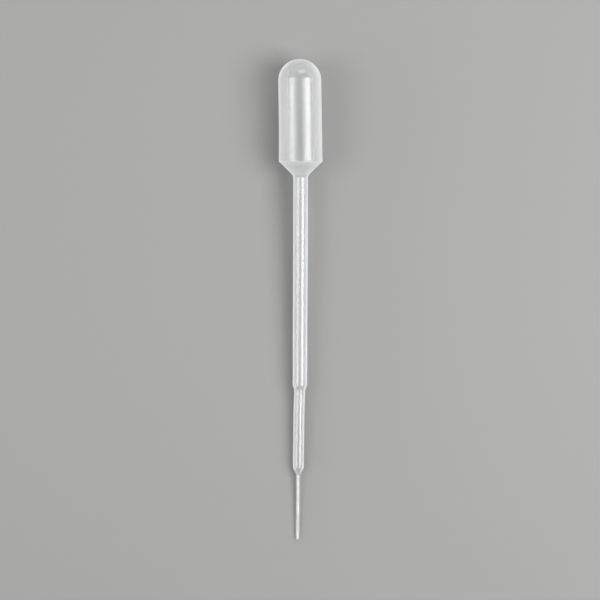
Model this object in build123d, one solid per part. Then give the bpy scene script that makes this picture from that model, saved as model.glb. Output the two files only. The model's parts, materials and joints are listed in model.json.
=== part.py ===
from build123d import *
from math import asin, atan2, degrees, hypot, radians, sin, tan
import os

# A dropper pipette, blown in one piece from thin polyethylene: a squeeze bulb with a domed
# crown, a coned shoulder, a stem in two diameters and a fine drawn tip.
# Millimetres, +Z up. It lies on a bench with its axis over the Y axis and its bulb towards +Y,
# resting on the rim of its tip and on the foot of its bulb, where the bulb is widest. The origin
# is on the bench, under the middle of its length.

# ---- Driving dimensions ----

overall_length = 155.0

bulb_diameter = 13.9
bulb_wall = 0.45
bulb_length = 33.0
# The bulb widens a little towards its foot.
foot_flare = 0.1
flare_length = 10.0

stem_diameter = 4.7
stem_wall = 0.6

lower_stem_diameter = 3.5
lower_stem_wall = 0.55
lower_stem_length = 25.5

tip_diameter = 1.15
tip_bore = 0.6
tip_length = 21.0

# Each cone's slope, in degrees from the axis.
shoulder_slope = 46.0
step_slope = 30.0
neck_slope = 28.0

# The mould's corner radii.
shoulder_round = 1.5
foot_round = 0.2
flare_round = 50.0
step_round = 1.0
neck_round = 0.8

# ---- Stations along the axis, from the end of the tip to the crown of the bulb ----

bulb_radius = bulb_diameter / 2
foot_radius = bulb_radius + foot_flare
stem_radius = stem_diameter / 2
lower_stem_radius = lower_stem_diameter / 2
tip_radius = tip_diameter / 2
tip_wall = tip_radius - tip_bore / 2


def cone_length(small_radius, large_radius, slope):
    """The length along the axis of a cone between two radii."""
    return (large_radius - small_radius) / tan(radians(slope))


neck_start = tip_length
neck_end = neck_start + cone_length(tip_radius, lower_stem_radius, neck_slope)
step_start = neck_end + lower_stem_length
step_end = step_start + cone_length(lower_stem_radius, stem_radius, step_slope)
bulb_foot = overall_length - bulb_length
shoulder_start = bulb_foot - cone_length(stem_radius, foot_radius, shoulder_slope)
dome_centre = overall_length - bulb_radius


def corner_round(small_radius, large_radius, slope, wanted):
    """The rounding wanted at the ends of a cone, or less where the cone is too short for it."""
    side = (large_radius - small_radius) / sin(radians(slope))
    return min(wanted, 0.4 * side / tan(radians(slope) / 2))


neck_fillet = corner_round(tip_radius, lower_stem_radius, neck_slope, neck_round)
step_fillet = corner_round(lower_stem_radius, stem_radius, step_slope, step_round)
shoulder_fillet = corner_round(stem_radius, foot_radius, shoulder_slope, shoulder_round)

# ---- The wall's section: X along the axis, Y out from it ----


def inside_corner(station, outside_radius, wall, slope):
    """The inner corner behind an outer one. Set back by this much, the wall keeps its
    thickness as it turns from the straight tube into the cone."""
    return (station + wall * tan(radians(slope) / 2), outside_radius - wall)


outside = FilletPolyline(
    (0, tip_radius),
    (neck_start, tip_radius),
    (neck_end, lower_stem_radius),
    (step_start, lower_stem_radius),
    (step_end, stem_radius),
    (shoulder_start, stem_radius),
    (bulb_foot, foot_radius),
    (bulb_foot + flare_length, bulb_radius),
    (dome_centre, bulb_radius),
    radius=[neck_fillet, neck_fillet, step_fillet, step_fillet, shoulder_fillet, foot_round, flare_round],
)

inside = FilletPolyline(
    (0, tip_radius - tip_wall),
    inside_corner(neck_start, tip_radius, tip_wall, neck_slope),
    inside_corner(neck_end, lower_stem_radius, lower_stem_wall, neck_slope),
    inside_corner(step_start, lower_stem_radius, lower_stem_wall, step_slope),
    inside_corner(step_end, stem_radius, stem_wall, step_slope),
    inside_corner(shoulder_start, stem_radius, stem_wall, shoulder_slope),
    inside_corner(bulb_foot, bulb_radius, bulb_wall, shoulder_slope),
    (dome_centre, bulb_radius - bulb_wall),
    radius=[neck_fillet, neck_fillet, step_fillet, step_fillet, shoulder_fillet, foot_round],
)

dome_outside = CenterArc((dome_centre, 0), bulb_radius, 90, -90)
dome_inside = CenterArc((dome_centre, 0), bulb_radius - bulb_wall, 90, -90)
crown = Line((overall_length - bulb_wall, 0), (overall_length, 0))
tip_end = Line((0, tip_radius - tip_wall), (0, tip_radius))

section = make_face([outside, dome_outside, crown, dome_inside, inside, tip_end])
pipette = revolve(section, Axis.X, 360)

# ---- Laid on the bench ----

# Seen from the side, the bench line touches the rounding at the foot of the bulb. Towards the
# tip it touches whichever it meets first: the rim of the tip, or the neck's or the step's outer
# rounding.
roundings = outside.edges().filter_by(GeomType.CIRCLE).sort_by(Axis.X)
neck_arc, step_arc, foot_arc = roundings[1:6:2]
foot_centre = foot_arc.arc_center


def lean_on(centre, radius):
    """The axis's slope when the foot of the bulb and another rounding both touch the bench: that
    of the line between their centres, and the angle that the step between their radii adds."""
    run = foot_centre.X - centre.X
    rise = foot_centre.Y - centre.Y
    return degrees(atan2(rise, run) + asin((foot_round - radius) / hypot(rise, run)))


lean = min(
    lean_on(Vector(0, tip_radius), 0),
    lean_on(neck_arc.arc_center, neck_fillet),
    lean_on(step_arc.arc_center, step_fillet),
)

# The bounding box reaches 0.0000001 mm beyond the surface, which the rounding leaves out.
leaning = Rot(lean, 0, 0) * Pos(0, 0, tip_radius) * Rot(0, 0, 90) * pipette
box = leaning.bounding_box()
pipette = Pos(0, -box.center().Y, -round(box.min.Z, 6)) * leaning

os.makedirs("parts", exist_ok=True)
export_step(pipette, "parts/pipette.step")
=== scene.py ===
# %% [markdown]
# # A plastic dropper pipette
# The real one is a single piece of thin, milky polyethylene: a squeeze bulb with a domed crown,
# a coned shoulder, a stem in two diameters and a fine drawn tip. It lies on a bench, resting on
# the rim of its tip and on the foot of its bulb. This lesson loads the measured model, makes a
# finer wall over it, gives the wall its plastic, and lights it with two soft boxes, which draw
# the long bright lines that tell the eye it is a clear round tube.

# %% Load the measured model
import json
from math import ceil, pi, radians, tan

import bmesh
import bpy
from mathutils import Matrix, Vector


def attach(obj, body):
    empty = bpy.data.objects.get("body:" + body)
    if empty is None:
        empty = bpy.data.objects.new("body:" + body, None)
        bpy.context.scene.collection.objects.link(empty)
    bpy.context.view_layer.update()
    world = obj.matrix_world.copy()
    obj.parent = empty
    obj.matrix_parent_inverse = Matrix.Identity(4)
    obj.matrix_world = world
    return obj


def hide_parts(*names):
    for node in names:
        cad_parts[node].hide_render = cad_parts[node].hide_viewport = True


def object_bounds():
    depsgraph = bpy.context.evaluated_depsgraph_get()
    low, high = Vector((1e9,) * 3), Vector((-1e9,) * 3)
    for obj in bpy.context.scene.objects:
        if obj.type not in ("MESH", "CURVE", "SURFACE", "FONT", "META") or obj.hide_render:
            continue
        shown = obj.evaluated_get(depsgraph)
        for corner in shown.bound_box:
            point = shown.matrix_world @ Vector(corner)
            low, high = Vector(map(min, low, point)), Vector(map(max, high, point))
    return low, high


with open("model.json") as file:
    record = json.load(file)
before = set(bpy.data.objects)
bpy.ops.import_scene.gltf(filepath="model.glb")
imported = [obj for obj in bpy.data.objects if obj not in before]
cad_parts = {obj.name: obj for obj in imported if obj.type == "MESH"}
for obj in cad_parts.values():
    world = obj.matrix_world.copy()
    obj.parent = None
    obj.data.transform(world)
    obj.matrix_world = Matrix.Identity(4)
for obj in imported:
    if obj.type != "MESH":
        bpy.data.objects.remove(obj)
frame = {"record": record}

cad_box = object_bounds()
print("Model box, mm:", [[round(c * 1000, 2) for c in corner] for corner in cad_box])

# %% [markdown]
# ## Sizes
# Whatever the model states is read from it: the three outside radii are those of its mounts,
# and the tip's mount gives the end and the direction of the axis too. The rest are named here.
# They are the lengths of the wall's parts, the slopes of the three cones, how thick the wall is
# in each part, and how its corners are rounded. Blender works in metres, so each is in MM.

# %% Name the sizes
MM = 0.001
mounts = {mount["name"]: mount for mount in frame["record"]["mounts"]}
stem_radius = mounts["stem"]["dims"]["r_mm"] * MM
lower_radius = mounts["lower_stem"]["dims"]["r_mm"] * MM
tip_radius = mounts["tip"]["dims"]["r_mm"] * MM
foot_flare = 0.1 * MM
bulb_radius = 6.95 * MM

overall_length = 155 * MM
bulb_length = 33 * MM
flare_length = 10 * MM
lower_length = 25.5 * MM
tip_length = 21 * MM

shoulder_slope = radians(46)
step_slope = radians(30)
neck_slope = radians(28)

bulb_wall = 0.45 * MM
stem_wall = 0.6 * MM
lower_wall = 0.55 * MM
tip_wall = 0.275 * MM

flare_round = 50 * MM
foot_round = 0.2 * MM
shoulder_round = 1.5 * MM
step_round = 1.0 * MM
neck_round = 0.8 * MM
tip_edge_round = 0.06 * MM

neck_start = tip_length
neck_end = neck_start + (lower_radius - tip_radius) / tan(neck_slope)
step_start = neck_end + lower_length
step_end = step_start + (stem_radius - lower_radius) / tan(step_slope)
bulb_foot = overall_length - bulb_length
shoulder_start = bulb_foot - (bulb_radius + foot_flare - stem_radius) / tan(shoulder_slope)
dome_centre = overall_length - bulb_radius
print("Stem from %.1f to %.1f mm, bulb from %.1f mm"
      % (step_end / MM, shoulder_start / MM, bulb_foot / MM))

# %% [markdown]
# ## The wall's outline
# The wall could be joined from cylinders and cones, but the joins would be hard to round. A
# hollow turned shape needs only half of its section, drawn once and spun. The outline runs
# from the crown down the inside of the wall, across the end of the tip, and back up the
# outside to the crown. Drawing both sides gives the plastic a real thickness, and light needs
# that: it bends going in and again coming out, and this is what makes the edges bright.
#
# The corners are points. Each is then rounded by a bevel with its own radius, as the mould
# rounds it. A bevel on a point starts a distance along each line, so the radius is turned
# into that distance first.

# %% Draw the outline and round its corners
section = bmesh.new()


def inside(station, radius, wall, slope=0.0):
    """The inner point behind an outer one: the wall keeps its thickness round the bend."""
    return station + wall * tan(slope / 2), radius - wall


# Each point: (station along the axis, radius), the slope turned through there, its rounding.
right_angle = radians(90)
flare_slope = foot_flare / flare_length
inner_points = [
    (inside(dome_centre, bulb_radius, bulb_wall), 0, 0),
    (inside(bulb_foot, bulb_radius, bulb_wall, shoulder_slope), shoulder_slope, foot_round),
    (inside(shoulder_start, stem_radius, stem_wall, shoulder_slope), shoulder_slope, shoulder_round),
    (inside(step_end, stem_radius, stem_wall, step_slope), step_slope, step_round),
    (inside(step_start, lower_radius, lower_wall, step_slope), step_slope, step_round),
    (inside(neck_end, lower_radius, lower_wall, neck_slope), neck_slope, neck_round),
    (inside(neck_start, tip_radius, tip_wall, neck_slope), neck_slope, neck_round),
    (inside(0, tip_radius, tip_wall), right_angle, tip_edge_round),
]
outer_points = [
    ((0, tip_radius), right_angle, tip_edge_round),
    ((neck_start, tip_radius), neck_slope, neck_round),
    ((neck_end, lower_radius), neck_slope, neck_round),
    ((step_start, lower_radius), step_slope, step_round),
    ((step_end, stem_radius), step_slope, step_round),
    ((shoulder_start, stem_radius), shoulder_slope, shoulder_round),
    ((bulb_foot, bulb_radius + foot_flare), shoulder_slope + flare_slope, foot_round),
    ((bulb_foot + flare_length, bulb_radius), flare_slope, flare_round),
    ((dome_centre, bulb_radius), 0, 0),
]
outline = []
for (station, radius), turn, rounding in inner_points + outer_points:
    outline.append((section.verts.new((radius, station, 0)), turn, rounding))
for one, two in zip(outline, outline[1:]):
    section.edges.new((one[0], two[0]))

inner_top = outline[0][0]
outer_top = outline[-1][0]
edges_per_corner = 8
round_profile = 0.5
for corner, turn, rounding in outline:
    if rounding:
        bmesh.ops.bevel(section, geom=[corner], offset=rounding * tan(turn / 2), affect="VERTICES",
                        segments=edges_per_corner, profile=round_profile, material=-1,
                        clamp_overlap=True)
print("Outline points after rounding:", len(section.verts))

# %% [markdown]
# ## The dome
# The crown is a quarter circle in section. Half a sphere could be joined on, but its points
# would have to meet the wall's. Spinning the wall's last point about the middle of the dome
# draws the quarter circle in its place, once for the inside and once for the outside.

# %% Spin the two quarter circles of the dome
edges_per_dome = 32
for top in (inner_top, outer_top):
    bmesh.ops.spin(section, geom=[top], cent=(0, dome_centre, 0), axis=(0, 0, 1), dvec=(0, 0, 0),
                   angle=pi / 2, steps=edges_per_dome, use_merge=False)
print("Outline points with the dome:", len(section.verts))

# %% [markdown]
# The long straight runs get points of their own, because the stem is going to be bent very
# slightly, and a line with no points between its ends can't bend.

# %% Divide the long runs
longest = 2.5 * MM
for edge in list(section.edges):
    cuts = ceil(edge.calc_length() / longest) - 1
    if cuts > 0:
        bmesh.ops.subdivide_edges(section, edges=[edge], cuts=cuts)
print("Outline points with the long runs divided:", len(section.verts))

# %% [markdown]
# ## The wall
# One full turn of the outline about the axis is the whole pipette. A Screw modifier would give
# the same shape, but the operator leaves a finished mesh, whose open edges can be counted. The
# first and last copies of the outline are merged, and so are the points that meet on the axis
# at the crown.

# %% Spin the outline into the wall
edges_around = 128
nearly_touching = 0.002 * MM
wall = section
bmesh.ops.spin(wall, geom=list(wall.verts) + list(wall.edges), cent=(0, 0, 0), axis=(0, 1, 0),
               dvec=(0, 0, 0), angle=2 * pi, steps=edges_around, use_merge=True)
bmesh.ops.remove_doubles(wall, verts=list(wall.verts), dist=nearly_touching)
bmesh.ops.recalc_face_normals(wall, faces=list(wall.faces))
open_edges = [edge for edge in wall.edges if not edge.is_manifold]
print("Wall:", len(wall.faces), "faces,", len(open_edges), "open edges,",
      round(wall.calc_volume() / MM ** 3), "cubic mm")

# %% [markdown]
# ## A little out of true
# Blown polyethylene cools unevenly, so no such stem is quite straight. This one wanders by
# about a millimetre: the tip and lower stem stand to one side, and the bulb leans back the same
# way. Most of it happens between the end of the tip and the step. A curve could bend the wall,
# but so small a bend is easier to give as a sum for each vertex. A smooth step, which starts
# and ends level, makes each part of it.
#
# The plastic's pattern should follow the bends, as lines drawn on a straight tube would. So each
# vertex first writes down where it stood while the tube was straight, as an attribute of the
# mesh, and the material reads that instead of where the vertex ends up.


# %% Bend the axis slightly
def smooth_step(value, start, end):
    share = min(max((value - start) / (end - start), 0), 1)
    return share * share * (3 - 2 * share)


def sideways(station):
    """How far the axis stands off to the side at a station."""
    tip_bend = 0.4 * MM * smooth_step(station, 0, 45 * MM)
    step_bend = 0.36 * MM * smooth_step(station, 38 * MM, 54 * MM)
    stem_bend = 0.2 * MM * smooth_step(station, 50 * MM, 115 * MM)
    bulb_lean = 0.3 * MM * smooth_step(station, 125 * MM, overall_length)
    tip_aside = 0.76 * MM
    return tip_bend + step_bend + stem_bend - bulb_lean - tip_aside


straight = wall.verts.layers.float_vector.new("straight")
for vertex in wall.verts:
    vertex[straight] = vertex.co
    vertex.co.x += sideways(vertex.co.y)
for part, part_station in (("tip", 0), ("middle", overall_length / 2), ("crown", overall_length)):
    print("Sideways at the %s, mm: %.2f" % (part, sideways(part_station) / MM))

# %% [markdown]
# ## Laying it on the bench
# The outline was drawn with its axis along Y. The model's axis rises gently towards the bulb,
# so the wall is turned to that slope about the end of the tip and moved to it. Its place is
# then in its mesh, and the object itself stays at the origin.

# %% Turn the wall to the model's axis
tip_mount = mounts["tip"]
towards_tip = Vector(tip_mount["axis"]).normalized()
tip_end = Vector(tip_mount["pos_m"]) + towards_tip * tip_mount["dims"]["length_mm"] * MM / 2
lean = Vector((0, 1, 0)).rotation_difference(-towards_tip).to_matrix()
bmesh.ops.rotate(wall, verts=list(wall.verts), cent=(0, 0, 0), matrix=lean)
bmesh.ops.translate(wall, verts=list(wall.verts), vec=tip_end)

for face in wall.faces:
    face.smooth = True
pipette_mesh = bpy.data.meshes.new("pipette_wall")
wall.to_mesh(pipette_mesh)
wall.free()
pipette = bpy.data.objects.new("pipette_wall", pipette_mesh)
bpy.context.collection.objects.link(pipette)
print("Lowest point, mm:", round(min(v.co.z for v in pipette_mesh.vertices) / MM, 4))

# %% [markdown]
# ## Shader sums in Python
# A material is a tree of nodes, and its sums are quicker to read as Python than as a list of
# Math nodes. Socket wraps one output of a node, and each sign used on it adds the Math node
# that does that sum. Tree holds the nodes of a material, or of the world. Its node method makes
# any other kind of node: the settings come first, because some of them change which sockets
# the node has.


# %% Wrap a node tree and its sockets
class Socket:
    """One output of a node, which Python's own signs can be used on."""

    def __init__(self, tree, output):
        self.tree = tree
        self.output = output

    def sum(self, operation, one, two):
        return self.tree.node("ShaderNodeMath", {"operation": operation}, {0: one, 1: two})

    def __add__(self, other):
        return self.sum("ADD", self, other)

    def __radd__(self, other):
        return self.sum("ADD", other, self)

    def __sub__(self, other):
        return self.sum("SUBTRACT", self, other)

    def __rsub__(self, other):
        return self.sum("SUBTRACT", other, self)

    def __mul__(self, other):
        return self.sum("MULTIPLY", self, other)

    def __rmul__(self, other):
        return self.sum("MULTIPLY", other, self)

    def __truediv__(self, other):
        return self.sum("DIVIDE", self, other)

    def __rtruediv__(self, other):
        return self.sum("DIVIDE", other, self)

    def __pow__(self, other):
        return self.sum("POWER", self, other)


class Tree:
    """The nodes of a material or of the world."""

    def __init__(self, owner):
        owner.use_nodes = True
        self.made = owner.node_tree
        self.made.nodes.clear()

    def node(self, kind, settings, sockets, output=0):
        """Adds a node, sets it, fills its sockets with values or links, and wraps one output."""
        new = self.made.nodes.new(kind)
        for name, value in settings.items():
            setattr(new, name, value)
        for name, value in sockets.items():
            if isinstance(value, Socket):
                self.made.links.new(value.output, new.inputs[name])
            else:
                new.inputs[name].default_value = value
        return Socket(self, new.outputs[output]) if new.outputs else None


# %% [markdown]
# ## Where on the pipette
# An Attribute node hands back the place each vertex wrote down. Its Y is the station, measured
# from the end of the tip, so one number says whether a point is on the tip, the stem or the bulb.
#
# Three kinds of noise are read at that place. The parison, the hot tube that a pipette is blown
# from, is drawn out lengthwise, and every unevenness in it is drawn out into a long faint line:
# the streaks are noise squeezed along Y to match. The patches are where the bulb blew a little
# thicker or thinner. The grain is the finest, and comes from the steel of the mould.

# %% Find the station, the streaks, the patches and the grain
plastic = bpy.data.materials.new("milky_polyethylene")
nodes = Tree(plastic)

place = nodes.node("ShaderNodeAttribute", {"attribute_name": "straight"}, {}, "Vector")
station = nodes.node("ShaderNodeSeparateXYZ", {}, {"Vector": place}, "Y")


def noise(size, stretch, detail):
    """Noise from 0 to 1 with features of a size, drawn out along the axis by stretch."""
    scale = (1 / size, 1 / (size * stretch), 1 / size)
    squeezed = nodes.node("ShaderNodeMapping", {}, {"Vector": place, "Scale": scale})
    return nodes.node("ShaderNodeTexNoise", {"normalize": True}, {
        "Vector": squeezed, "Scale": 1, "Detail": detail, "Roughness": 0.5}, "Fac")


streaks = noise(0.7 * MM, 120, 2)
patches = noise(4 * MM, 3, 2)
grain = noise(0.12 * MM, 3, 1)
print("Material nodes so far:", len(nodes.made.nodes))

# %% [markdown]
# ## The milk
# Polyethylene is clear with a little milk in it: tiny crystals scatter some of the light. Seen
# square on, the thin wall hardly shows. Seen edge on, light crosses far more of it, so the milk
# gathers into a pale line along both sides. Scattering inside the wall would be the literal
# way, but it is slow and grainy in so thin a wall. Two shaders are mixed instead: clear plastic,
# and plastic that is all milk. The milk is an amount at each station: most in the bulb, less in
# the stem, and least in the thinly blown crown and in the drawn tip. A little extra milk at the
# foot of the bulb is a painted highlight: a fine pale line that fades into the shoulder, in place
# of the light that the rounded corner mirrors. Streaks and patches thicken and thin the milk by a
# tenth or so.
#
# Layer Weight says how far a surface is turned from the eye: with a blend of a half, its Facing
# output is one less the cosine of the turn. Only a turn round the tube gathers the milk, because
# there the wall curves along with the light. Along the tube the wall is straight, and light,
# which bends as it goes in, crosses it nearly squarely at any slant. So a second Layer Weight
# gets the axis in place of the surface's own direction, and says how far the light runs
# lengthwise. Dividing by the part that runs crosswise leaves the turn round the tube. A little
# is added to that part, so that it isn't nought for a look along the axis.
#
# The share that stays clear where light crosses squarely is raised to a power that grows with
# the slant, as it does in any layer that takes away the same share of the light in every bit of
# its depth. How fast the power grows is set by crowding: a stem, which is thick for its width,
# crowds its milk to the very edge, the bulb spreads it wider, and the rim of the crown is in
# between. The cosine is kept above a small number, because a power of infinity has no meaning.

# %% Work out how milky the wall looks
def step_along(start, end):
    """Rises smoothly from 0 to 1 between two stations."""
    return nodes.node("ShaderNodeMapRange", {"interpolation_type": "SMOOTHSTEP"}, {
        "Value": station, "From Min": start, "From Max": end, "To Min": 0, "To Max": 1})


tip_milk = 0.12
crown_milk = 0.12
stem_milk = 0.18
bulb_milk = 0.20
foot_highlight_milk = 0.08
past_neck = step_along(neck_start, neck_end)
past_shoulder = step_along(shoulder_start, bulb_foot)
past_dome = step_along(dome_centre, overall_length)
wall_milk = tip_milk + (stem_milk - tip_milk) * past_neck + (bulb_milk - stem_milk) * past_shoulder
wall_milk = wall_milk + (crown_milk - bulb_milk) * past_dome
# Painted highlight: extra milk in a pale line round the foot of the bulb, in place of the light its
# rounded corner mirrors.
highlight_below = 1.8 * MM
highlight_above = 0.5 * MM
painted_foot_highlight = (step_along(bulb_foot - highlight_below, bulb_foot)
             - step_along(bulb_foot, bulb_foot + highlight_above))
wall_milk = wall_milk + foot_highlight_milk * painted_foot_highlight
uneven_milk = wall_milk * (0.8 + 0.2 * streaks + 0.2 * patches)

facing = nodes.node("ShaderNodeLayerWeight", {}, {"Blend": 0.5}, "Facing")
axis = nodes.node("ShaderNodeCombineXYZ", {}, dict(zip("XYZ", towards_tip)))
off_axis = nodes.node("ShaderNodeLayerWeight", {}, {"Blend": 0.5, "Normal": axis}, "Facing")
lengthwise = 1 - off_axis
end_on = 0.01
crosswise = (1 + end_on - lengthwise * lengthwise) ** 0.5
turn = nodes.node("ShaderNodeMath", {"operation": "MINIMUM"}, {0: (1 - facing) / crosswise, 1: 1})
least_cosine = 0.12
cosine = nodes.node("ShaderNodeMath", {"operation": "MAXIMUM"}, {0: turn, 1: least_cosine})
crowding = 2.4 - 0.8 * past_shoulder + 0.6 * past_dome
milk = 1 - (1 - uneven_milk) ** (1 / cosine ** crowding)
print("Material nodes with the milk:", len(nodes.made.nodes))

# %% [markdown]
# ## The plastic
# The skin is smooth but not polished: its roughness follows the streaks, and is greater on the
# bulb than on the stem, whose highlights are crisp lines. A Bump node turns streaks, patches
# and grain into heights of a few thousandths of a millimetre, which let the long highlights
# waver a little. The patches are left out of the stem, which is too stiff to be dented. The tip
# was drawn out hot and never touched the mould, so it is glossiest: a coat, which fades out up
# the neck, gives it a thin bright line. The milk is a very slightly cool white.
#
# A surface that bends light hides the lamps from the quick test a renderer makes for a shadow,
# so a bulb lit by small lamps would come out dark inside. The lamps here are large, and light
# bent through the wall finds them by itself. No trick is needed, and the shadows stay true.

# %% Make the clear and the milky plastic and mix them
roughness = 0.05 + 0.07 * past_shoulder + 0.05 * streaks
height = 0.0006 * streaks + 0.004 * patches * past_shoulder + 0.0004 * grain
skin = nodes.node("ShaderNodeBump", {}, {"Height": height, "Distance": MM, "Strength": 1}, "Normal")
gloss = 1 - past_neck

clear_tint = (0.98, 0.98, 0.98, 1)
milk_tint = (0.93, 0.955, 0.975, 1)
surface = {"Roughness": roughness, "IOR": 1.51, "Normal": skin, "Coat Weight": gloss,
           "Coat Roughness": 0.03}
clear = nodes.node("ShaderNodeBsdfPrincipled", {}, {
    **surface, "Base Color": clear_tint, "Transmission Weight": 1})
milky = nodes.node("ShaderNodeBsdfPrincipled", {}, {**surface, "Base Color": milk_tint})
wall_shader = nodes.node("ShaderNodeMixShader", {}, {0: milk, 1: clear, 2: milky})
nodes.node("ShaderNodeOutputMaterial", {}, {"Surface": wall_shader})
pipette_mesh.materials.append(plastic)
print("Material nodes in all:", len(nodes.made.nodes))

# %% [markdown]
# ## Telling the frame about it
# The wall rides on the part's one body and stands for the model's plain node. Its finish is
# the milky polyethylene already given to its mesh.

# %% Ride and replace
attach(pipette, "root")
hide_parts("pipette")
print("Stands for the model's pipette:", pipette.name)

# %% [markdown]
# ## The bench
# The bench is one wide grey sheet at height nought, where the pipette lies. It is a stage and no
# part of the pipette. Clear plastic shows what lies under it, so the grey matters: it is what
# is seen through the middle of the bulb, and it is dark enough for the pale edges to stand out.

# %% Lay the bench
bench_half_width = 2
bench_mesh = bpy.data.meshes.new("bench")
bench_shape = bmesh.new()
bmesh.ops.create_grid(bench_shape, x_segments=1, y_segments=1, size=bench_half_width)
bench_shape.to_mesh(bench_mesh)
bench_shape.free()
bench = bpy.data.objects.new("bench", bench_mesh)
bpy.context.collection.objects.link(bench)
grey = bpy.data.materials.new("grey_card")
grey.use_nodes = True
grey_shader = grey.node_tree.nodes["Principled BSDF"]
grey_shader.inputs["Base Color"].default_value = (0.315, 0.317, 0.317, 1)
grey_shader.inputs["Roughness"].default_value = 0.8
bench_mesh.materials.append(grey)
print("Bench, metres across:", 2 * bench_half_width)

# %% [markdown]
# ## The lights
# A round, clear, glossy thing is drawn by what it mirrors, and a small lamp would leave it with
# a mere thread of light. Two long soft boxes hang over the bench, one to each side, and the bulb
# and the stem mirror each of them as one long line. Between the two lines they mirror the dark
# gap overhead, and that gap is what makes them look round and hollow. The right box is the
# brighter one, so the faint shadow falls to the left.
#
# A soft box is brightest about its middle. Each is hung as three sheets, one in front of
# another: sheets let each other's light through, so the smaller ones brighten the middle. Their
# light is a very little warm, beside which the milk looks cool.

# %% Hang the soft boxes
def soft_sheet(name, side_angle, side_spread, along_angle, along_spread, radiance):
    """A rectangular lamp seen from the bench at an angle from straight up towards +X, and at
    another towards +Y, that takes up the given spreads and looks as bright as radiance."""
    distance = 0.6
    direction = Vector((tan(side_angle), tan(along_angle), 1)).normalized()
    lamp = bpy.data.lights.new(name, "AREA")
    lamp.shape = "RECTANGLE"
    lamp.size = 2 * distance * tan(side_spread / 2)
    lamp.size_y = 2 * distance * tan(along_spread / 2)
    lamp.color = (1, 0.99, 0.97)
    lamp.energy = radiance * pi * lamp.size * lamp.size_y
    sheet = bpy.data.objects.new(name, lamp)
    sheet.location = direction * distance
    across = Vector((0, 1, 0)).cross(direction).normalized()
    turned = Matrix((across, direction.cross(across), direction)).transposed()
    sheet.rotation_euler = turned.to_euler()
    sheet.visible_camera = False
    bpy.context.collection.objects.link(sheet)
    return sheet


# Each sheet: its angle from straight up and its spread, in degrees, and its radiance.
left_box = ((-47, 54, 0.9), (-46, 34, 1.2), (-44, 16, 1.6))
right_box = ((33, 50, 2.1), (38, 40, 1.3), (40, 28, 3.1))
box_along = radians(-3)
box_along_spread = radians(38)
for box_name, sheets in (("left_box", left_box), ("right_box", right_box)):
    for number, (angle, spread, radiance) in enumerate(sheets):
        soft_sheet(box_name + "_%d" % number, radians(angle), radians(spread),
                   box_along, box_along_spread, radiance)
print("Lamps:", len(bpy.data.lights))

# %% [markdown]
# Two more lamps each do one small job. A low card stands at the left, almost on the bench. It
# brightens the milk along the left edge of the bulb and the stem, and is kept out of the
# reflections, where it would add one line too many. A small lamp stands beyond the bulb, and
# the dome mirrors it as one short bright spot.

# %% Hang the low card and the spot
low_card = soft_sheet("low_card", side_angle=radians(-84), side_spread=radians(16),
                      along_angle=0, along_spread=radians(70), radiance=2.2)
low_card.visible_glossy = False
soft_sheet("spot_box", side_angle=radians(13), side_spread=radians(30),
           along_angle=radians(51), along_spread=radians(18), radiance=3.3)
print("Lamps:", len(bpy.data.lights))

# %% [markdown]
# ## The room
# The room is dim overhead and pale towards the horizon, like a tent of white cloth with a hole
# in its roof for the camera. The sides of the bulb and the stem mirror the tent's walls, which
# keeps them pale. A picture of a studio could light them too, but a short sum is enough. The
# walls are paler on the left, where the low card stands, and beyond the crown, whose rim they
# brighten, than on the side that the shoulder's cone faces.

# %% Make the room
world = bpy.data.worlds.new("room")
bpy.context.scene.world = world
room = Tree(world)
direction = room.node("ShaderNodeTexCoord", {}, {}, "Generated")
upwards = room.node("ShaderNodeSeparateXYZ", {}, {"Vector": direction}, "Z")
rightwards = room.node("ShaderNodeSeparateXYZ", {}, {"Vector": direction}, "X")
crownwards = room.node("ShaderNodeSeparateXYZ", {}, {"Vector": direction}, "Y")
level = 1 - room.node("ShaderNodeMath", {"operation": "ABSOLUTE"}, {0: upwards})
overhead_light = 0.08
horizon_light = 0.85 - 0.3 * rightwards + 0.35 * crownwards
light = overhead_light + horizon_light * level * level
sky = room.node("ShaderNodeBackground", {}, {"Color": (1, 1, 1, 1), "Strength": light})
room.node("ShaderNodeOutputWorld", {}, {"Surface": sky})
print("Nodes of the room:", len(room.made.nodes))

# %% [markdown]
# ## The camera
# The camera hangs one metre over the middle of the bench and looks straight down. From that far
# off the tube is drawn with hardly any perspective, and the sides of the bulb are seen alike.
# The lens is chosen so that the pipette fills four fifths of the picture's height.

# %% Set the camera over the bench
scene = bpy.context.scene
camera_data = bpy.data.cameras.new("camera")
camera = bpy.data.objects.new("camera", camera_data)
bpy.context.collection.objects.link(camera)
camera_height = 1.0
share_of_picture = 0.797
sensor_width = 36
frame_width = (cad_box[1].y - cad_box[0].y) / share_of_picture
camera_data.sensor_width = sensor_width
camera_data.lens = sensor_width * camera_height / frame_width
camera.location = (0, 0, camera_height)
scene.camera = camera
scene.view_settings.view_transform = "Standard"
print("Lens, mm: %.1f" % camera_data.lens)
